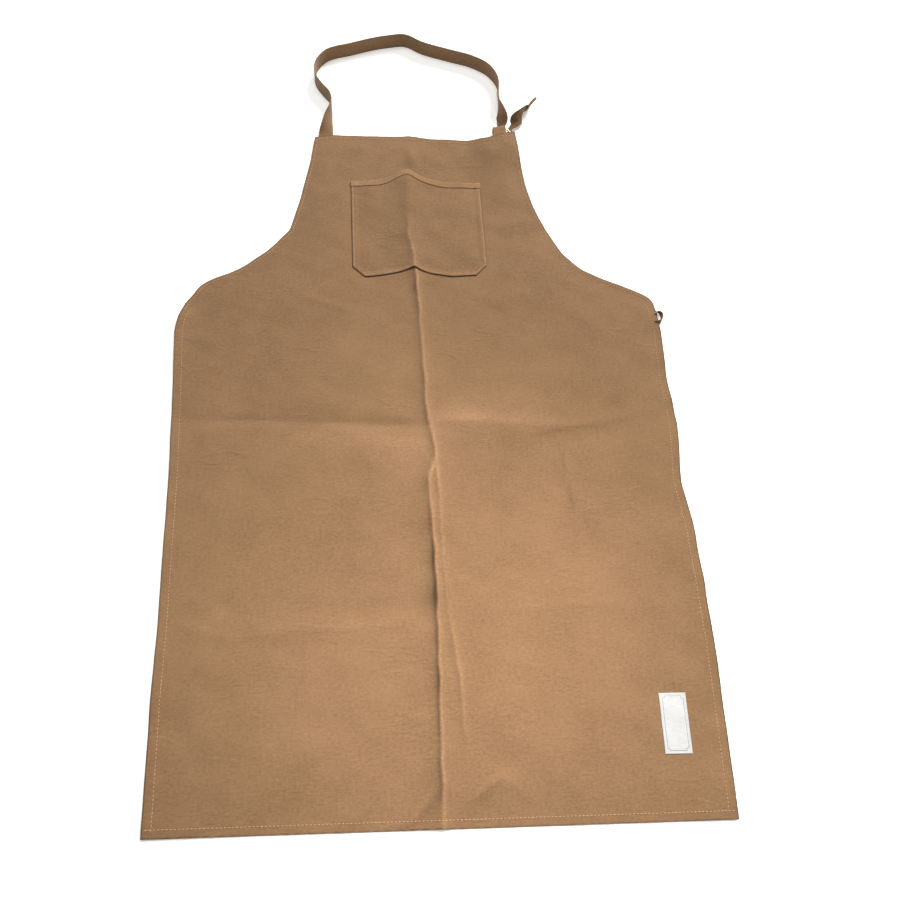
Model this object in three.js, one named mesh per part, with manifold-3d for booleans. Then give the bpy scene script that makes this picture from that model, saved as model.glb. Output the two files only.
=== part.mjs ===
// A canvas bib apron laid out flat, front side up, in millimetres with +Z up.
// It is drawn with the hem on y = 0 and the middle fold on x = 0, and moved at the
// end so that the origin is at the middle of the underside of its bounding box.
import * as THREE from 'three';
import { mergeVertices } from 'three/addons/utils/BufferGeometryUtils.js';
import Module from 'manifold-3d';

const wasm = await Module();
wasm.setup();

// Driving dimensions
const clothThickness = 1.2;
const gap = 0.3;
const creaseY = 494;        // pressed fold between the upper and the lower half
const creaseGap = 0.5;
const crease = { low: creaseY - creaseGap / 2, high: creaseY + creaseGap / 2 };
const bibTopY = 979;
const tuckedHeight = 3.2;   // room under the upper half for the tucked strap and ties
const ringHeight = 10.2;    // room under the bib corner for the rings
const strapWidth = 25;
const strapThickness = 2;
const strapLift = 0.15;     // keeps the swept strap's corners off the surface it stands on
const tieLength = 272;
const tieThickness = 2.4;
const tieCornerRadius = 6;
const threadWidth = 1.2;
const threadThickness = 0.4;
const pocket = { left: -97.5, right: 94.5, bottom: 723, top: 889, chamfer: 17, wall: 2, depth: 5.2, face: 1.2 };
const pocketHemHeight = 9;
const label = { x: 274.5, y: 101.5, width: 32.5, height: 69, thickness: 0.6, turn: -0.022 };
const ring = { x: 131.9, y: 979.6, radius: 14.2, wire: 1.1, lowerZ: 3.7, upperZ: 7.5 };
const tab = { left: 120, right: 140, end: 955, thickness: 0.8 };
const neckRootX = -124.5;

// Colours and finishes
const finish = {
  canvas: { color: 0x8d6442, roughness: 0.92, metalness: 0 },
  thread: { color: 0xc08a5e, roughness: 0.8, metalness: 0 },
  brass: { color: 0xc9a45a, roughness: 0.28, metalness: 1 },
  labelCloth: { color: 0xdcdcd8, roughness: 0.85, metalness: 0 },
};

const apron = new THREE.Group();

function addPart(name, geometry, look) {
  const mesh = new THREE.Mesh(geometry, new THREE.MeshStandardMaterial(finish[look]));
  mesh.name = name;
  apron.add(mesh);
}

// Closed solids in and out of the boolean library
function toSolid(geometry) {
  const bare = geometry.clone();
  bare.deleteAttribute('normal');
  bare.deleteAttribute('uv');
  const merged = mergeVertices(bare, 1e-4);
  const vertProperties = new Float32Array(merged.attributes.position.array);
  const triVerts = new Uint32Array(merged.index.array);
  return new wasm.Manifold(new wasm.Mesh({ numProp: 3, vertProperties, triVerts }));
}

function toGeometry(solid) {
  const mesh = solid.getMesh();
  const geometry = new THREE.BufferGeometry();
  geometry.setAttribute('position', new THREE.BufferAttribute(new Float32Array(mesh.vertProperties), 3));
  geometry.setIndex(new THREE.BufferAttribute(new Uint32Array(mesh.triVerts), 1));
  return geometry;
}

// A flat outline given its height, from z = low to z = high
function slab(shape, low, high, curveSegments = 8) {
  const geometry = new THREE.ExtrudeGeometry(shape, { depth: high - low, bevelEnabled: false, curveSegments });
  return geometry.translate(0, 0, low);
}

function smoothRise(value, start, length) {
  return THREE.MathUtils.smoothstep(value, start, start + length);
}

// Height of the underside of the upper half: it rises from the crease over what is tucked
// under it, and rises again over the rings at the bib's right-hand corner
function underside(x, y) {
  const tucked = tuckedHeight * THREE.MathUtils.clamp((y - crease.high) / 70, 0, 1);
  const overRings = smoothRise(x, 88, 22) * smoothRise(y, 928, 26);
  return tucked + (ringHeight - tuckedHeight) * overRings;
}

function topside(x, y) {
  return underside(x, y) + clothThickness;
}

// A curved sheet over a grid of lines, closed at its four edges
function curvedSheet(xLines, yLines) {
  const positions = [];
  const indices = [];
  const columns = xLines.length;
  const rows = yLines.length;
  for (const height of [underside, topside]) {
    for (const y of yLines) {
      for (const x of xLines) {
        positions.push(x, y, height(x, y));
      }
    }
  }
  const top = columns * rows;
  const quad = (a, b, c, d) => indices.push(a, b, c, a, c, d);
  for (let j = 0; j < rows - 1; j += 1) {
    for (let i = 0; i < columns - 1; i += 1) {
      const a = j * columns + i;
      quad(a, a + columns, a + columns + 1, a + 1);
      quad(top + a, top + a + 1, top + a + columns + 1, top + a + columns);
    }
  }
  for (let i = 0; i < columns - 1; i += 1) {
    const far = (rows - 1) * columns + i;
    quad(i, i + 1, top + i + 1, top + i);
    quad(far + 1, far, top + far, top + far + 1);
  }
  for (let j = 0; j < rows - 1; j += 1) {
    const a = j * columns;
    const b = a + columns - 1;
    quad(a + columns, a, top + a, top + a + columns);
    quad(b, b + columns, top + b + columns, top + b);
  }
  const geometry = new THREE.BufferGeometry();
  geometry.setAttribute('position', new THREE.Float32BufferAttribute(positions, 3));
  geometry.setIndex(indices);
  return geometry;
}

// A flat strip swept through stations, each with its middle, the direction of its width,
// its width and its thickness
function sweptStrip(stations) {
  const positions = [];
  const indices = [];
  const count = stations.length;
  stations.forEach((station, i) => {
    const before = stations[Math.max(i - 1, 0)].middle;
    const after = stations[Math.min(i + 1, count - 1)].middle;
    const along = after.clone().sub(before).normalize();
    const across = station.across.clone().addScaledVector(along, -station.across.dot(along)).normalize();
    const normal = new THREE.Vector3().crossVectors(along, across);
    for (const [u, v] of [[-1, -1], [1, -1], [1, 1], [-1, 1]]) {
      const corner = station.middle.clone();
      corner.addScaledVector(across, u * station.width / 2);
      corner.addScaledVector(normal, v * station.thickness / 2);
      positions.push(corner.x, corner.y, corner.z);
    }
  });
  for (let i = 0; i < count - 1; i += 1) {
    for (let k = 0; k < 4; k += 1) {
      const a = i * 4 + k;
      const b = i * 4 + (k + 1) % 4;
      indices.push(a, b, b + 4, a, b + 4, a + 4);
    }
  }
  const last = (count - 1) * 4;
  indices.push(0, 2, 1, 0, 3, 2, last, last + 1, last + 2, last, last + 2, last + 3);
  const geometry = new THREE.BufferGeometry();
  geometry.setAttribute('position', new THREE.Float32BufferAttribute(positions, 3));
  geometry.setIndex(indices);
  return geometry;
}

// A strap given by the line its lower edge follows. Lean is the angle in degrees from lying
// flat to the left of the run (0) to standing on edge (90)
function strapStations(rows, steps, thickness) {
  const curve = new THREE.CatmullRomCurve3(rows.map((row) => new THREE.Vector3(row.x, row.y, row.z ?? 0)));
  const stations = [];
  for (let i = 0; i <= steps; i += 1) {
    const t = i / steps;
    const place = t * (rows.length - 1);
    const index = Math.min(Math.floor(place), rows.length - 2);
    const part = place - index;
    const mix = (key, fallback) => THREE.MathUtils.lerp(
      rows[index][key] ?? fallback, rows[index + 1][key] ?? fallback, part);
    const run = curve.getTangent(t).setZ(0).normalize();
    const lean = THREE.MathUtils.degToRad(mix('lean', 90));
    const width = mix('width', strapWidth);
    const left = new THREE.Vector3(-run.y, run.x, 0);
    const across = left.multiplyScalar(Math.cos(lean)).setZ(Math.sin(lean));
    const middle = curve.getPoint(t).addScaledVector(across, width / 2);
    middle.z += strapLift + Math.cos(lean) * thickness / 2;
    stations.push({ middle, across, width, thickness });
  }
  return stations;
}

// A line of thread lying just above the cloth
function threadAlong(points, height, lift = gap) {
  const curve = new THREE.CatmullRomCurve3(points.map(([x, y]) => new THREE.Vector3(x, y, 0)));
  const steps = Math.max(2, points.length * 3);
  const stations = curve.getPoints(steps).map((middle, i) => {
    const run = curve.getTangent(i / steps);
    middle.z = height(middle.x, middle.y) + lift + threadThickness / 2;
    return { middle, across: new THREE.Vector3(-run.y, run.x, 0), width: threadWidth, thickness: threadThickness };
  });
  return sweptStrip(stations);
}

// A thin flat frame: the outline less the same outline drawn in by the thread's width
function threadFrame(width, height, low) {
  const frame = new THREE.Shape();
  const inner = new THREE.Path();
  const trace = (path, w, h) => {
    path.moveTo(-w / 2, -h / 2);
    path.lineTo(w / 2, -h / 2);
    path.lineTo(w / 2, h / 2);
    path.lineTo(-w / 2, h / 2);
    path.closePath();
  };
  trace(frame, width, height);
  trace(inner, width - 2 * threadWidth, height - 2 * threadWidth);
  frame.holes.push(inner);
  return slab(frame, low, low + threadThickness);
}

// The cloth's outline. Both armholes are smooth curves; the left waist corner is tucked under
const leftArmhole = [[-294, 721], [-250, 742], [-216, 771], [-187, 806], [-173, 858], [-160, 931], [-152, bibTopY]];
const rightArmhole = [[154, bibTopY], [159, 922], [170, 852], [187, 804], [206, 765], [230, 737], [277, 712], [318, 692]];
const leftSide = [[-337, 640], [-334, 560], [-331, 450], [-331, 0]];
const rightSide = [[332, 0], [335, 200], [333, 450], [334, 560], [332, 666]];

function splineThrough(path, points) {
  path.splineThru(points.map(([x, y]) => new THREE.Vector2(x, y)));
}

function clothOutline() {
  const outline = new THREE.Shape();
  outline.moveTo(...leftSide.at(-1));
  rightSide.forEach(([x, y]) => outline.lineTo(x, y));
  outline.quadraticCurveTo(332, 686, ...rightArmhole.at(-1));
  splineThrough(outline, rightArmhole.slice(0, -1).reverse());
  outline.lineTo(...leftArmhole.at(-1));
  splineThrough(outline, leftArmhole.slice(0, -1).reverse());
  outline.quadraticCurveTo(-330, 694, ...leftSide[0]);
  leftSide.slice(1, -1).forEach(([x, y]) => outline.lineTo(x, y));
  outline.closePath();
  return outline;
}

function rectangle(left, bottom, right, top) {
  const shape = new THREE.Shape();
  shape.moveTo(left, bottom);
  shape.lineTo(right, bottom);
  shape.lineTo(right, top);
  shape.lineTo(left, top);
  shape.closePath();
  return shape;
}

function buildCloth() {
  const outline = toSolid(slab(clothOutline(), -5, 30, 3));
  const lower = toSolid(slab(rectangle(-400, -10, 400, crease.low), 0, clothThickness));
  addPart('skirt_panel', toGeometry(lower.intersect(outline)), 'canvas');
  const xLines = [-400, 0, 88, 94, 99, 104, 110, 400];
  const yLines = [crease.high, crease.high + 70, 760, 928, 935, 941, 947, 954, 1000];
  const upper = toSolid(curvedSheet(xLines, yLines));
  addPart('bib_panel', toGeometry(upper.intersect(outline)), 'canvas');
}

// The pocket: a front face on low side and bottom walls, open at the top edge
function pocketOutline(inset, top) {
  const left = pocket.left + inset;
  const right = pocket.right - inset;
  const bottom = pocket.bottom + inset;
  const cut = pocket.chamfer - inset * 0.5;
  const shape = new THREE.Shape();
  shape.moveTo(left + cut, bottom);
  shape.lineTo(right - cut, bottom);
  shape.lineTo(right, bottom + cut);
  shape.lineTo(right, top);
  shape.lineTo(left, top);
  shape.lineTo(left, bottom + cut);
  shape.closePath();
  return shape;
}

const pocketBase = tuckedHeight + clothThickness + gap;
const pocketRoof = pocketBase + pocket.depth;
const pocketTop = pocketRoof + pocket.face;

function buildPocket() {
  const block = toSolid(slab(pocketOutline(0, pocket.top), pocketBase, pocketTop));
  const hollow = toSolid(slab(pocketOutline(pocket.wall, pocket.top + 10), pocketBase - 1, pocketRoof));
  addPart('chest_pocket', toGeometry(block.subtract(hollow)), 'canvas');
  const hemLow = pocketTop + gap;
  const hem = rectangle(pocket.left, pocket.top - pocketHemHeight, pocket.right, pocket.top);
  addPart('pocket_hem', slab(hem, hemLow, hemLow + 0.8), 'canvas');
  const tackLow = hemLow + 0.8 + gap;
  for (const [name, x] of [['pocket_tack_left', pocket.left + 7], ['pocket_tack_right', pocket.right - 7]]) {
    const tack = rectangle(x - 5, pocket.top - 6, x + 5, pocket.top - 3);
    addPart(name, slab(tack, tackLow, tackLow + threadThickness), 'thread');
  }
  const inset = 4;
  const seam = pocketOutline(inset, pocket.top - pocketHemHeight - 2);
  const inner = pocketOutline(inset + threadWidth, pocket.top);
  const seamLow = pocketTop + gap;
  const seamBlock = toSolid(slab(seam, seamLow, seamLow + threadThickness));
  const seamHollow = toSolid(slab(inner, seamLow - 1, seamLow + 2));
  addPart('pocket_stitching', toGeometry(seamBlock.subtract(seamHollow)), 'thread');
}

function buildClothStitching() {
  const flat = () => clothThickness;
  const inset = 10;
  addPart('hem_stitching', threadAlong([[-322, 9], [0, 9], [322, 9]], flat), 'thread');
  addPart('side_stitching_lower_left', threadAlong([[-331 + inset, 14], [-331 + inset, 250], [-332 + inset, 492]], flat), 'thread');
  addPart('side_stitching_lower_right', threadAlong([[332 - inset, 14], [335 - inset, 200], [333 - inset, 492]], flat), 'thread');
  addPart('side_stitching_upper_left', threadAlong([[-332 + inset, 497], [-334 + inset, 560], [-337 + inset, 640]], topside), 'thread');
  addPart('side_stitching_upper_right', threadAlong([[333 - inset, 497], [334 - inset, 560], [332 - inset, 664]], topside), 'thread');
  const armhole = 5;
  const leftLine = leftArmhole.slice(0, -1).map(([x, y]) => [x + armhole * 0.7, y - armhole]);
  const rightLine = rightArmhole.slice(1).map(([x, y]) => [x - armhole * 0.7, y - armhole]);
  addPart('armhole_stitching_left', threadAlong(leftLine, topside), 'thread');
  addPart('armhole_stitching_right', threadAlong(rightLine, topside), 'thread');
  const topLine = [-140, -60, 20, 84].map((x) => [x, bibTopY - 7]);
  addPart('bib_top_stitching', threadAlong(topLine, topside), 'thread');
}

// The neck strap's sewn end, under the bib's left-hand corner
function buildStrapRoot() {
  const rows = [{ x: neckRootX, y: 944, lean: 0 }, { x: neckRootX, y: 983.4, lean: 0 }];
  addPart('strap_root', sweptStrip(strapStations(rows, 2, strapThickness)), 'canvas');
}

// The neck strap: it stands on edge round the loop and lies down at both ends
const neckRun = [
  { x: neckRootX, y: 985, lean: 0 },
  { x: neckRootX, y: 992, lean: 12 },
  { x: -126, y: 1008, lean: 52 },
  { x: -126.5, y: 1026, lean: 88 },
  { x: -129, y: 1046, lean: 90 },
  { x: -140, y: 1062, lean: 90 },
  { x: -151, y: 1082, lean: 90 },
  { x: -150, y: 1111, lean: 90 },
  { x: -137, y: 1130, lean: 90 },
  { x: -95, y: 1147, lean: 90 },
  { x: -38, y: 1164, lean: 90 },
  { x: -11, y: 1167, lean: 90 },
  { x: 16, y: 1152, lean: 90 },
  { x: 60, y: 1136, lean: 90 },
  { x: 95, y: 1124, lean: 90 },
  { x: 119, y: 1108, lean: 90 },
  { x: 134, y: 1083, lean: 90 },
  { x: 136, y: 1060, lean: 90 },
  { x: 131, y: 1040, lean: 70 },
  { x: 129, y: 1024, lean: 52, width: 23 },
  { x: 129, y: 1011, lean: 10, width: 16 },
  { x: 129.5, y: 1000.4, lean: 0, width: 11 },
];

function buildNeckStrap() {
  addPart('neck_strap', sweptStrip(strapStations(neckRun, 66, strapThickness)), 'canvas');
}

// The strap gathered through the rings: under both rings, round the lower one's far side
// and back between the two
function buildStrapTurn() {
  const thickness = 1;
  const low = 0.7;
  const high = (ring.lowerZ + ring.upperZ) / 2;
  const middleZ = (low + high) / 2;
  const turnRadius = (high - low) / 2;
  const turnY = ring.y - ring.radius - 0.4;
  const stations = [];
  const add = (x, y, z, turn, width) => {
    const across = new THREE.Vector3(Math.cos(turn), Math.sin(turn), 0);
    stations.push({ middle: new THREE.Vector3(x, y, z), across, width, thickness });
  };
  add(135, 999.6, low, 0, 11);
  add(134.5, 985, low, 0, 10);
  add(134, 970, low, 0, 9);
  for (let i = 0; i <= 8; i += 1) {
    const angle = -Math.PI / 2 - i * Math.PI / 8;
    add(134, turnY + turnRadius * Math.cos(angle), middleZ + turnRadius * Math.sin(angle), 0, 8);
  }
  add(136, 966.5, high, -0.45, 8);
  add(140.5, 970, high, -0.8, 8);
  add(144.8, 975.5, high, -0.6, 7);
  add(146, 984, high, -0.3, 7);
  add(147.6, 992, high, -0.55, 7);
  add(149.5, 995.8, high, -0.64, 7);
  addPart('strap_turn', sweptStrip(stations), 'canvas');
}

// The free end of the strap beyond the rings, with its turned-in hem
const tailStart = new THREE.Vector3(150, 996.7, 0);
const tailHeading = 0.927;
function buildStrapTail() {
  const rows = [
    { along: 0, lean: 0, width: 8, z: 4.8 },
    { along: 8, lean: 12, width: 13, z: 4 },
    { along: 16, lean: 44, width: 20, z: 1.4 },
    { along: 26, lean: 66, width: 24, z: 0.2 },
    { along: 36, lean: 94, width: 25, z: 0.2 },
    { along: 58, lean: 108, width: 25, z: 0.5 },
  ].map((row) => {
    const side = -0.5 * row.width * Math.cos(THREE.MathUtils.degToRad(row.lean));
    const x = tailStart.x + row.along * Math.cos(tailHeading) - side * Math.sin(tailHeading);
    const y = tailStart.y + row.along * Math.sin(tailHeading) + side * Math.cos(tailHeading);
    return { ...row, x, y };
  });
  addPart('strap_tail', sweptStrip(strapStations(rows, 20, 1.4)), 'canvas');
}

// Canvas tab folded round the rings. Its back layer climbs through them to the front one
function buildTab() {
  const t = tab.thickness;
  const back = 1.5;
  const front = 8.9;
  const foldY = 993;
  const joinY = 973;
  const climb = 11;
  const foldRadius = (front + t - back) / 2;
  const innerRadius = foldRadius - t;
  const centre = back + foldRadius;
  const profile = new THREE.Shape();
  profile.moveTo(tab.end, front + t);
  profile.lineTo(tab.end, front);
  profile.lineTo(joinY, front);
  profile.lineTo(joinY + climb, back);
  profile.absarc(foldY, centre, foldRadius, -Math.PI / 2, Math.PI / 2, false);
  profile.closePath();
  const hollow = new THREE.Path();
  hollow.moveTo(joinY + 1.7, front - 0.1);
  hollow.lineTo(foldY - 2, front - 0.1);
  hollow.absarc(foldY, centre, innerRadius, Math.PI / 2, -Math.PI / 2, true);
  hollow.lineTo(joinY + climb + 0.6, back + t);
  hollow.closePath();
  profile.holes.push(hollow);
  const width = tab.right - tab.left;
  const geometry = new THREE.ExtrudeGeometry(profile, { depth: width, bevelEnabled: false, curveSegments: 10 });
  // the profile is drawn as (y, z) and extruded along x
  const axes = new THREE.Matrix4().makeBasis(
    new THREE.Vector3(0, 1, 0), new THREE.Vector3(0, 0, 1), new THREE.Vector3(1, 0, 0));
  geometry.applyMatrix4(axes).translate(tab.left, 0, 0);
  addPart('ring_tab', geometry, 'canvas');
  const box = threadFrame(tab.right - tab.left - 3, 14, 0);
  const boxZ = ringHeight + clothThickness + gap;
  addPart('tab_stitching', box.translate((tab.left + tab.right) / 2, 965, boxZ), 'thread');
}

function buildRings() {
  for (const [name, z] of [['ring_lower', ring.lowerZ], ['ring_upper', ring.upperZ]]) {
    const geometry = new THREE.TorusGeometry(ring.radius, ring.wire, 8, 40);
    addPart(name, geometry.translate(ring.x, ring.y, z), 'brass');
  }
}

// The waist ties, folded to a flat bundle and tucked under the upper half
const tiePivot = { x: 322, y: 654 };
function buildTies() {
  for (const [name, side] of [['waist_tie_left', -1], ['waist_tie_right', 1]]) {
    const reach = side > 0 ? 16 : 4;
    const outer = tiePivot.x + reach;
    const inner = outer - tieLength;
    const half = strapWidth / 2;
    const r = tieCornerRadius;
    const shape = new THREE.Shape();
    shape.moveTo(inner + r, -half);
    shape.lineTo(outer - r, -half);
    shape.quadraticCurveTo(outer, -half, outer, -half + r);
    shape.lineTo(outer, half - r);
    shape.quadraticCurveTo(outer, half, outer - r, half);
    shape.lineTo(inner + r, half);
    shape.quadraticCurveTo(inner, half, inner, half - r);
    shape.lineTo(inner, -half + r);
    shape.quadraticCurveTo(inner, -half, inner + r, -half);
    const geometry = slab(shape, 0, tieThickness, 3);
    if (side < 0) {
      geometry.rotateZ(Math.PI);
    }
    addPart(name, geometry.translate(0, tiePivot.y, 0), 'canvas');
  }
}

function buildLabel() {
  const half = { w: label.width / 2, h: label.height / 2 };
  const low = clothThickness + gap;
  const place = (geometry) => geometry.rotateZ(label.turn).translate(label.x, label.y, 0);
  const patch = slab(rectangle(-half.w, -half.h, half.w, half.h), low, low + label.thickness);
  addPart('label', place(patch), 'labelCloth');
  const border = threadFrame(label.width - 4, label.height - 4, low + label.thickness + gap);
  addPart('label_stitching', place(border), 'labelCloth');
}

buildCloth();
buildPocket();
buildClothStitching();
buildStrapRoot();
buildNeckStrap();
buildStrapTurn();
buildStrapTail();
buildTab();
buildRings();
buildTies();
buildLabel();

// Origin to the middle of the underside of the box round everything
const box = new THREE.Box3().setFromObject(apron);
const middle = box.getCenter(new THREE.Vector3());
apron.position.set(-middle.x, -middle.y, -box.min.z);

export default apron;
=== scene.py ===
import math

import bpy
import numpy as np
from mathutils import Matrix, Vector
from mathutils.kdtree import KDTree


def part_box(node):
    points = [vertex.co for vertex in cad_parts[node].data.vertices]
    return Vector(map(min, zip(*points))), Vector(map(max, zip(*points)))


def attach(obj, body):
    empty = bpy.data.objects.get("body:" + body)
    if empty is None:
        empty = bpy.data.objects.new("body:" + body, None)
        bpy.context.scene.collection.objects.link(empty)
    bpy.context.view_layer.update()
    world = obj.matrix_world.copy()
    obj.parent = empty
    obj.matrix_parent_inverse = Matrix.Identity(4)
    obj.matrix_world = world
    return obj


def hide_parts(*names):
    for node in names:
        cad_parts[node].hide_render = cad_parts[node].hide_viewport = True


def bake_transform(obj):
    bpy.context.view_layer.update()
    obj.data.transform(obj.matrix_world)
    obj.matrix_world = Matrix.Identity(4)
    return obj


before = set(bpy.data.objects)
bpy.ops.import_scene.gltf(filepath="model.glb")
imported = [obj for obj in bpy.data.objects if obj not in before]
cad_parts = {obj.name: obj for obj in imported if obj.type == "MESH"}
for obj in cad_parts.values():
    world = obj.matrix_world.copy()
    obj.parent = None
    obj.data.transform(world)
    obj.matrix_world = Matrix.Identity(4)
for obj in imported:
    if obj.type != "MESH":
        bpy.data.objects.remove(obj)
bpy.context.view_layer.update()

# Shapes are worked out in millimetres, with the hem on y = 0 and the middle fold on x = 0
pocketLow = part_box("chest_pocket")[0]
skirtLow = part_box("skirt_panel")[0]
pocketLeft = -97.5
middleX = pocketLow[0] - pocketLeft / 1000
hemY = skirtLow[1]


def toRow(points):
    return np.asarray(points, float) / 1000 + np.array([middleX, hemY, 0.0])


def rowPoint(x, y, z):
    return tuple(float(value) for value in toRow([x, y, z]))


# Camera

camera = dict(
    place=(-68.77, -5.42, 1079.75),
    depression=66.37,
    roll=9.59,
    heading=-11.73,
    lens=36,
    sensor=36,
)


def addCamera():
    data = bpy.data.cameras.new("camera")
    data.lens = camera["lens"]
    data.sensor_width = camera["sensor"]
    data.clip_start = 0.01
    eye = bpy.data.objects.new("camera", data)
    bpy.context.collection.objects.link(eye)
    turn = Matrix.Rotation(math.radians(camera["heading"]), 4, "Z")
    tilt = Matrix.Rotation(math.radians(90 - camera["depression"]), 4, "X")
    roll = Matrix.Rotation(math.radians(camera["roll"]), 4, "Z")
    eye.matrix_world = Matrix.Translation(rowPoint(*camera["place"])) @ turn @ tilt @ roll
    bpy.context.scene.camera = eye


addCamera()
print("camera placed")


# Nodes

class Wire:
    # A socket that joins in sums: each operator adds its Math node
    def __init__(self, nodes, socket):
        self.nodes = nodes
        self.socket = socket

    def out(self, name):
        return Wire(self.nodes, self.socket.node.outputs[name])

    def math(self, operation, *values):
        return self.nodes.add("ShaderNodeMath", {"operation": operation}, dict(enumerate(values)))

    def __add__(self, other):
        return self.math("ADD", self, other)

    __radd__ = __add__

    def __mul__(self, other):
        return self.math("MULTIPLY", self, other)

    def __sub__(self, other):
        return self.math("SUBTRACT", self, other)

    def __rsub__(self, other):
        return self.math("SUBTRACT", other, self)

    def sine(self):
        return self.math("SINE", self)

    def size(self):
        return self.math("ABSOLUTE", self)

    def ramp(self, low, high):
        # 0 at low and 1 at high, smooth between
        settings = {"interpolation_type": "SMOOTHSTEP"}
        sockets = {"Value": self, "From Min": low, "From Max": high}
        return self.nodes.add("ShaderNodeMapRange", settings, sockets)


class Nodes:
    # Adds nodes to one tree: settings first, then a value or a link for each socket
    def __init__(self, tree):
        self.tree = tree

    def add(self, kind, settings=None, sockets=None, output=0):
        node = self.tree.nodes.new(kind)
        for name, value in (settings or {}).items():
            setattr(node, name, value)
        for name, value in (sockets or {}).items():
            if isinstance(value, Wire):
                self.tree.links.new(value.socket, node.inputs[name])
            else:
                node.inputs[name].default_value = value
        return Wire(self, node.outputs[output]) if node.outputs else None

    def place(self):
        return self.add("ShaderNodeTexCoord", None, None, "Object")

    def noise(self, vector, scale, detail=2.0):
        sockets = {"Vector": vector, "Scale": scale, "Detail": detail}
        return self.add("ShaderNodeTexNoise", None, sockets)

    def bumped(self, strength, distance, height):
        sockets = {"Strength": strength, "Distance": distance, "Height": height}
        return self.add("ShaderNodeBump", None, sockets)

    def threads(self, pitch):
        # The flat coordinates of a cloth, and a wave along each of them for its threads
        uv = self.add("ShaderNodeUVMap", {"uv_map": "flat"})
        split = self.add("ShaderNodeSeparateXYZ", None, {0: uv})
        perThread = math.pi / pitch
        return uv, (split.out("X") * perThread).sine(), (split.out("Y") * perThread).sine()

    def blend(self, amount, first, second):
        # Mix two colours
        factor, colourA, colourB, result = 0, 6, 7, 2
        sockets = {factor: amount, colourA: first, colourB: second}
        return self.add("ShaderNodeMix", {"data_type": "RGBA"}, sockets, result)


def colour(red, green, blue):
    # A linear colour from the 0 to 255 values of a paint chip
    def linear(value):
        value = value / 255
        return value / 12.92 if value <= 0.04045 else ((value + 0.055) / 1.055) ** 2.4
    return (linear(red), linear(green), linear(blue), 1.0)


def startMaterial(name):
    material = bpy.data.materials.new(name)
    material.use_nodes = True
    tree = material.node_tree
    tree.nodes.clear()
    nodes = Nodes(tree)
    shader = nodes.add("ShaderNodeBsdfPrincipled")
    nodes.add("ShaderNodeOutputMaterial", None, {"Surface": shader})
    return material, nodes, shader.socket.node


def feed(nodes, shader, links, fixed):
    for name, wire in links.items():
        nodes.tree.links.new(wire.socket, shader.inputs[name])
    for name, value in fixed.items():
        shader.inputs[name].default_value = value


# Materials

canvasLook = dict(
    dark=colour(108, 81, 55),
    light=colour(141, 109, 78),
    # The pale colour serves both wear and painted highlights; the darkest colour is painted shade
    wornColour=colour(176, 136, 100),
    soilColour=colour(72, 52, 33),
    pitch=0.00085,
    roughness=0.93,
    bump=0.55,
    bumpDepth=0.00035,
    crinkle=1.7,
)


def noise(nodes, uv, stretch, detail=2.0, turn=0.0):
    mapping = nodes.add(
        "ShaderNodeMapping", None, {"Vector": uv, "Scale": stretch, "Rotation": (0, 0, turn)})
    return nodes.noise(mapping, 1.0, detail)


def makeCanvas(name, look):
    material, nodes, shader = startMaterial(name)
    uv, warp, weft = nodes.threads(look["pitch"])
    over = warp * weft * 0.5 + 0.5
    weave = warp.size() * over + weft.size() * (1 - over)
    rowSlubs = noise(nodes, uv, (45, 1100, 1), 3.0)
    columnSlubs = noise(nodes, uv, (1100, 45, 1), 3.0)
    fibres = noise(nodes, uv, (2600, 2600, 1), 2.0, 0.5)
    mottle = noise(nodes, uv, (16, 16, 1), 5.0)
    fleck = noise(nodes, uv, (260, 420, 1), 2.0)
    drift = noise(nodes, uv, (4, 5, 1), 1.0, 0.4)
    worn = nodes.add("ShaderNodeAttribute", {"attribute_name": "worn"}, None, "Fac")
    soil = nodes.add("ShaderNodeAttribute", {"attribute_name": "soil"}, None, "Fac")
    tone = (mottle - 0.5) * 0.5 + (rowSlubs - 0.5) * 0.6 + (columnSlubs - 0.5) * 0.35
    tone = tone + (fleck - 0.5) * 0.9 + (weave - 0.5) * 0.3 + (drift - 0.5) * 0.5 + 0.5
    body = nodes.blend(tone.ramp(-0.1, 1.1), look["dark"], look["light"])
    # Paler where the cloth is worn and where highlights are painted, then darker where shade is painted
    rubbed = nodes.blend(worn * (0.1 + fleck * 1.3), body, look["wornColour"])
    withPaintedShade = nodes.blend(soil.ramp(0.0, 1.0), rubbed, look["soilColour"])
    crinkled = noise(nodes, uv, (16, 44, 1), 3.0, 0.3)
    crinkledPlaces = noise(nodes, uv, (9, 9, 1), 1.0, 1.0).ramp(0.5, 0.66)
    crinkle = (1 - (crinkled - 0.5).size() * 16).ramp(0.0, 1.0) * crinkledPlaces
    height = weave * 0.6 + fibres * 0.35 + rowSlubs * 0.5 + columnSlubs * 0.4 + crinkle * look["crinkle"]
    normal = nodes.bumped(look["bump"], look["bumpDepth"], height)
    links = {
        "Base Color": withPaintedShade,
        "Roughness": look["roughness"] - worn * 0.08 - fibres * 0.06,
        "Normal": normal,
    }
    feed(nodes, shader, links, {"Sheen Weight": 0.12, "Sheen Roughness": 0.5, "Specular IOR Level": 0.2})
    return material


threadLook = dict(dark=colour(166, 124, 90), light=colour(200, 158, 120), twist=0.0006)


def makeThread(name, look):
    material, nodes, shader = startMaterial(name)
    place = nodes.place()
    ply = nodes.add("ShaderNodeTexWave", {"bands_direction": "DIAGONAL"}, {
        "Vector": place, "Scale": 0.5 / look["twist"], "Distortion": 1.5})
    strand = nodes.noise(place, 120.0)
    tint = nodes.blend(strand, look["dark"], look["light"])
    normal = nodes.bumped(0.4, 0.0002, ply.out("Fac"))
    links = {"Base Color": tint, "Roughness": 0.6 + strand * 0.3, "Normal": normal}
    feed(nodes, shader, links, {"Sheen Weight": 0.2, "Specular IOR Level": 0.3})
    return material


brassLook = dict(bright=colour(255, 242, 208), dull=colour(226, 198, 142))


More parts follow.
